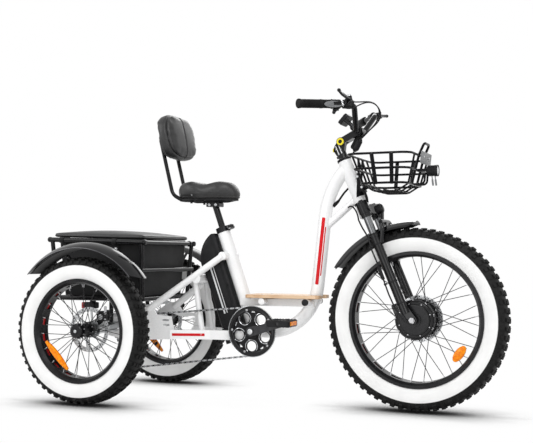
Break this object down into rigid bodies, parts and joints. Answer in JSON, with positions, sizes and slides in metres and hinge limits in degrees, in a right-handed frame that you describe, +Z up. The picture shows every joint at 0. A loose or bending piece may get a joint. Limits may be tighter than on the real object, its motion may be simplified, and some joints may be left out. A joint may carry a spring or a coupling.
{
  "type": "electric cargo tricycle",
  "caption": "Step-through electric tricycle with fat tyres, suspension fork, front basket, wooden footboard, backrest saddle and a rear cargo rack with a lidded bag.",
  "frame": {"origin": "on the ground under the middle of the whole object", "axes": "+X forward along the travel direction, +Y to the rider's left, +Z up"},
  "size_m": [1.9143, 0.842, 1.2051],
  "materials": {
    "white_paint": "gloss paint on alloy tube",
    "black_paint": "satin paint on alloy tube",
    "gloss_black": "gloss",
    "black_plastic": "matte",
    "rubber": "matte",
    "tyre": "knobbly with a white side band",
    "wood": "satin",
    "vinyl": "satin vinyl over foam",
    "bag_cloth": "matte",
    "steel": "brushed",
    "chrome": "polished",
    "alloy": "satin",
    "dark_alloy": "satin",
    "red_lens": "gloss"
  },
  "bodies": {
    "frame": {"head_tube": "white_paint", "main_tube": "white_paint", "seat_tube": "white_paint", "bottom_bracket": "white_paint", "seat_stays": "white_paint", "chainstays": "white_paint", "axle_plates": "alloy", "axle_housing": "black_paint", "footboard_beam": "white_paint", "footboard": "wood", "battery_pack": "black_plastic", "drive_chain": "steel", "rear_derailleur": "dark_alloy", "cargo_rack": "black_paint", "cargo_bag": "bag_cloth", "rear_fenders": "gloss_black", "tail_light": "red_lens", "rear_calipers": "dark_alloy", "seat_collar": "dark_alloy", "front_basket": "black_paint", "headlight": "black_plastic"},
    "lid": {"cargo_lid": "vinyl"},
    "seat": {"seat_post": "dark_alloy", "saddle_base": "black_plastic", "saddle": "vinyl", "backrest_frame": "black_paint", "backrest_pad": "vinyl"},
    "clamp_lever": {"seat_clamp_lever": "alloy"},
    "steering": {"fork_crown": "dark_alloy", "fork_stanchions": "chrome", "stem_base": "dark_alloy"},
    "stem": {"stem_arm": "dark_alloy", "handlebar": "dark_alloy", "grips": "rubber", "display": "black_plastic", "control_clamps": "dark_alloy", "control_cables": "black_plastic"},
    "throttle": {"throttle_sleeve": "rubber"},
    "right_brake": {"right_brake_lever": "dark_alloy"},
    "left_brake": {"left_brake_lever": "dark_alloy"},
    "shifter": {"shift_lever": "black_plastic"},
    "fork_lower": {"fork_lowers": "gloss_black", "front_fender": "gloss_black", "front_axle": "steel", "fork_lamp": "black_plastic", "motor_cable": "black_plastic"},
    "front_wheel": {"front_tyre": "tyre", "front_rim": "dark_alloy", "hub_motor": "dark_alloy"},
    "right_rear_wheel": {"right_rear_tyre": "tyre", "right_rear_rim": "dark_alloy", "right_rear_hub": "dark_alloy"},
    "left_rear_wheel": {"left_rear_tyre": "tyre", "left_rear_rim": "dark_alloy", "left_rear_hub": "dark_alloy"},
    "crank": {"crank_set": "dark_alloy", "chainring": "black_paint"},
    "right_pedal_body": {"right_pedal": "black_plastic"},
    "left_pedal_body": {"left_pedal": "black_plastic"},
    "cassette_body": {"cassette": "steel"}
  },
  "joints": [
    {"name": "steering_turn", "type": "hinge", "parent": "frame", "child": "steering", "pos_m": [0.38525, 0, 0.804], "axis": [-0.3795, 0, 0.9252], "range_deg": [-45, 45]},
    {"name": "stem_tilt", "type": "hinge", "parent": "steering", "child": "stem", "pos_m": [0.30625, 0, 1.045], "axis": [0, -1, 0], "range_deg": [-5, 35]},
    {"name": "fork_travel", "type": "slide", "parent": "steering", "child": "fork_lower", "axis": [-0.3795, 0, 0.9252], "range_m": [0, 0.05], "stiffness_N_per_m": 12000, "springref_m": -0.03},
    {"name": "front_wheel_spin", "type": "hinge", "parent": "fork_lower", "child": "front_wheel", "pos_m": [0.60625, 0, 0.351], "axis": [0, 1, 0], "continuous": true},
    {"name": "right_rear_wheel_spin", "type": "hinge", "parent": "frame", "child": "right_rear_wheel", "pos_m": [-0.66375, -0.36, 0.2935], "axis": [0, 1, 0], "continuous": true},
    {"name": "left_rear_wheel_spin", "type": "hinge", "parent": "frame", "child": "left_rear_wheel", "pos_m": [-0.66375, 0.36, 0.2935], "axis": [0, 1, 0], "continuous": true},
    {"name": "crank_spin", "type": "hinge", "parent": "frame", "child": "crank", "pos_m": [-0.04975, 0, 0.289], "axis": [0, 1, 0], "continuous": true},
    {"name": "right_pedal_spin", "type": "hinge", "parent": "crank", "child": "right_pedal_body", "pos_m": [0.11059, -0.15, 0.33196], "axis": [0, 1, 0], "continuous": true},
    {"name": "left_pedal_spin", "type": "hinge", "parent": "crank", "child": "left_pedal_body", "pos_m": [-0.21009, 0.15, 0.24604], "axis": [0, 1, 0], "continuous": true},
    {"name": "cassette_spin", "type": "hinge", "parent": "frame", "child": "cassette_body", "pos_m": [-0.66375, -0.065, 0.2935], "axis": [0, 1, 0], "continuous": true},
    {"name": "seat_height", "type": "slide", "parent": "frame", "child": "seat", "axis": [-0.3338, 0, 0.9426], "range_m": [-0.07, 0.08]},
    {"name": "clamp_lever_turn", "type": "hinge", "parent": "frame", "child": "clamp_lever", "pos_m": [-0.17964, -0.025, 0.71375], "axis": [0.3338, 0, -0.9426], "range_deg": [0, 120]},
    {"name": "lid_hinge", "type": "hinge", "parent": "frame", "child": "lid", "pos_m": [-0.91375, 0, 0.65995], "axis": [0, -1, 0], "range_deg": [0, 110]},
    {"name": "right_brake_pull", "type": "hinge", "parent": "stem", "child": "right_brake", "pos_m": [0.40329, -0.19456, 1.17867], "axis": [0.3543, -0.2085, -0.9116], "range_deg": [0, 18], "stiffness_Nm_per_rad": 2, "springref_deg": -6.88},
    {"name": "left_brake_pull", "type": "hinge", "parent": "stem", "child": "left_brake", "pos_m": [0.40504, 0.19549, 1.17286], "axis": [-0.2152, -0.0914, 0.9723], "range_deg": [0, 18], "stiffness_Nm_per_rad": 2, "springref_deg": -6.88},
    {"name": "throttle_twist", "type": "hinge", "parent": "stem", "child": "throttle", "pos_m": [0.3241, -0.24629, 1.15972], "axis": [-0.6258, -0.7772, -0.0654], "range_deg": [0, 60], "stiffness_Nm_per_rad": 0.3, "springref_deg": -17.19},
    {"name": "shift_lever_turn", "type": "hinge", "parent": "stem", "child": "shifter", "pos_m": [0.35129, -0.21253, 1.14052], "axis": [-0.041, -0.051, 0.9979], "range_deg": [-35, 35]}
  ],
  "couplings": [
    {"joint": "cassette_spin", "follows": "crank_spin", "ratio": 2.4}
  ]
}
